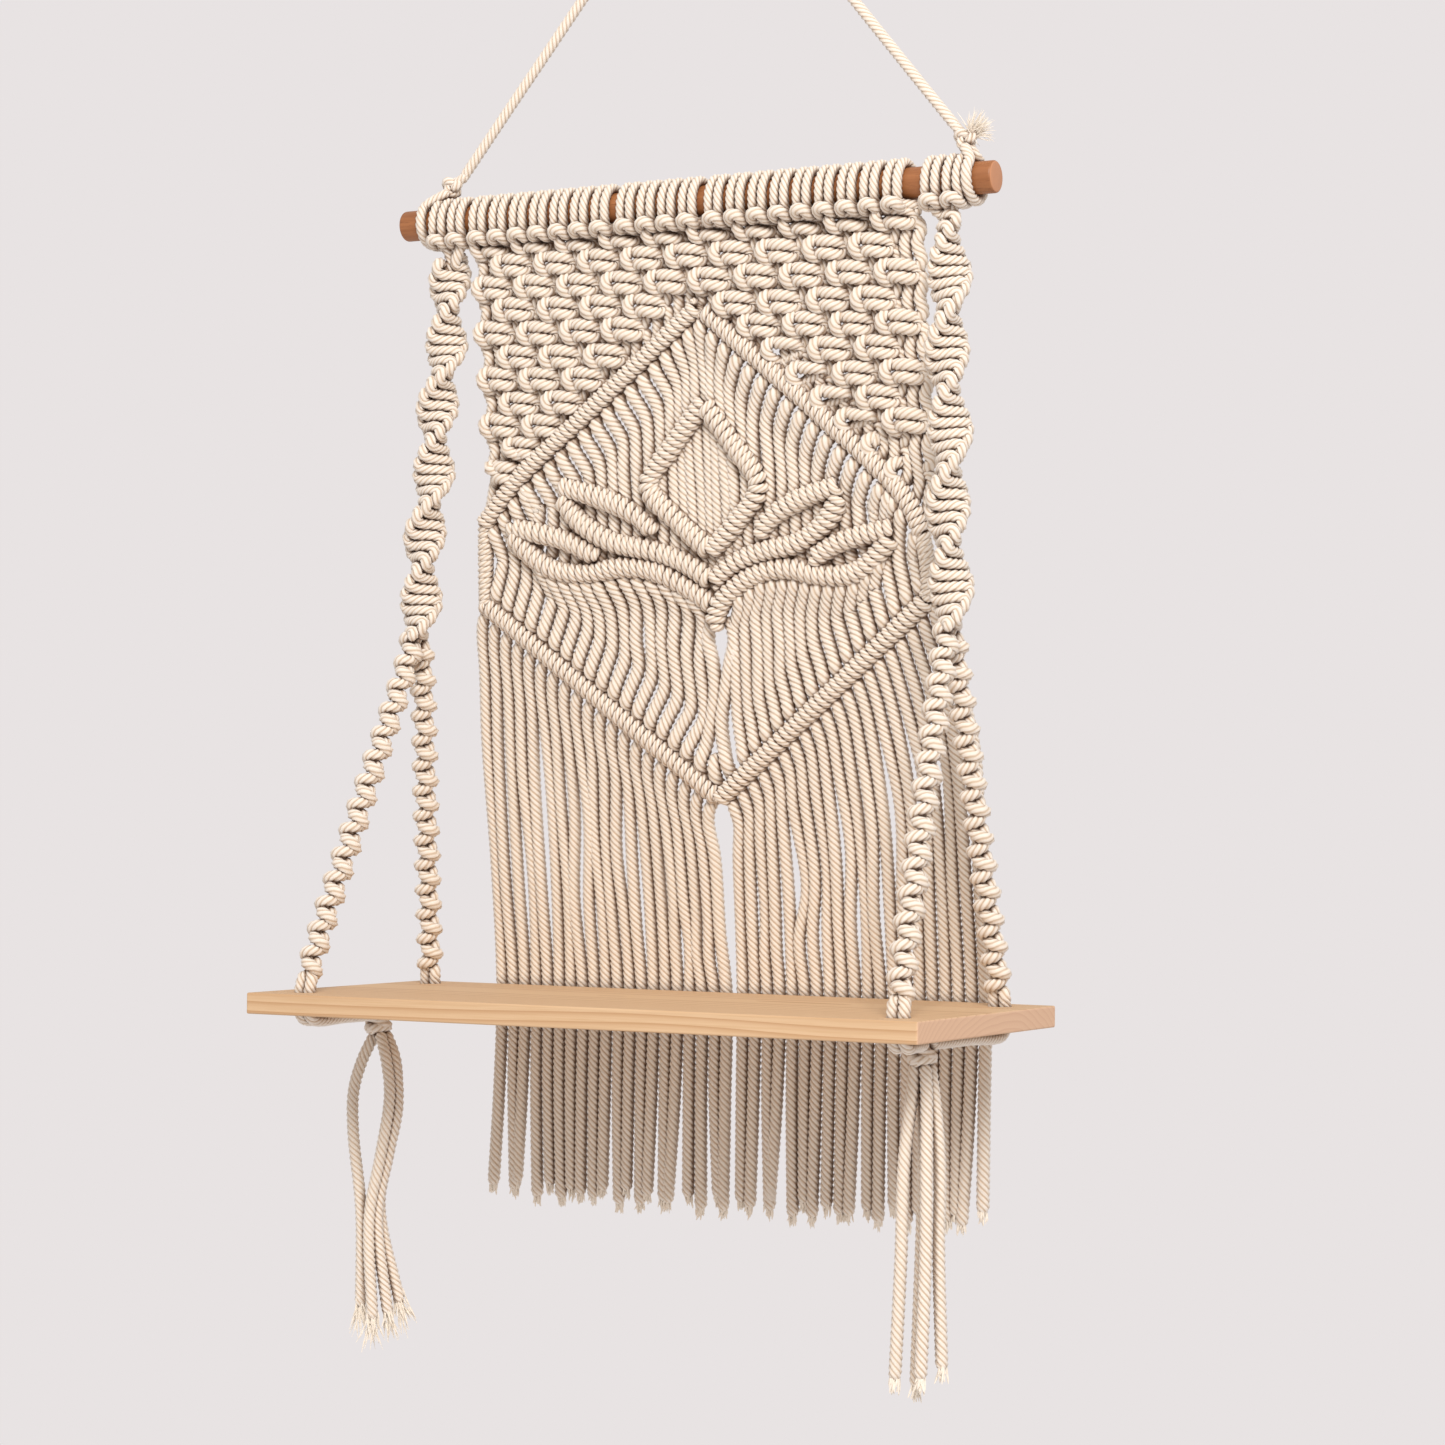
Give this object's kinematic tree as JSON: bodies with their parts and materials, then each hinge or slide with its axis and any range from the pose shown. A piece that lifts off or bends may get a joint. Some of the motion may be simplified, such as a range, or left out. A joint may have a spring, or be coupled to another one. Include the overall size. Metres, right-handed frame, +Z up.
{
  "type": "macrame wall shelf with rod and board",
  "caption": "Knotted cotton wall hanging on a wooden rod, with a small pine shelf board slung in front of it on twisted cord straps.",
  "frame": {"origin": "where the hanging cord lies over its wall hook", "axes": "+Z up, +X along the rod to the right as seen from the front, -Y out of the front, the wall side is +Y"},
  "size_m": [0.35, 0.1591, 0.7289],
  "materials": {
    "beech": "oiled",
    "pine": "sanded, unvarnished",
    "cotton_cord": "twisted natural cotton, matt"
  },
  "bodies": {
    "root": {"rod": "beech", "shelf_board": "pine", "hanging_cord": "cotton_cord", "hanger_knot_left": "cotton_cord", "hanger_knot_right": "cotton_cord", "knotted_panel": "cotton_cord", "fringe": "cotton_cord", "strap_upper_left": "cotton_cord", "strap_upper_right": "cotton_cord", "strap_front_left": "cotton_cord", "strap_front_right": "cotton_cord", "strap_back_left": "cotton_cord", "strap_back_right": "cotton_cord", "tassel_left": "cotton_cord", "tassel_right": "cotton_cord"}
  },
  "joints": []
}
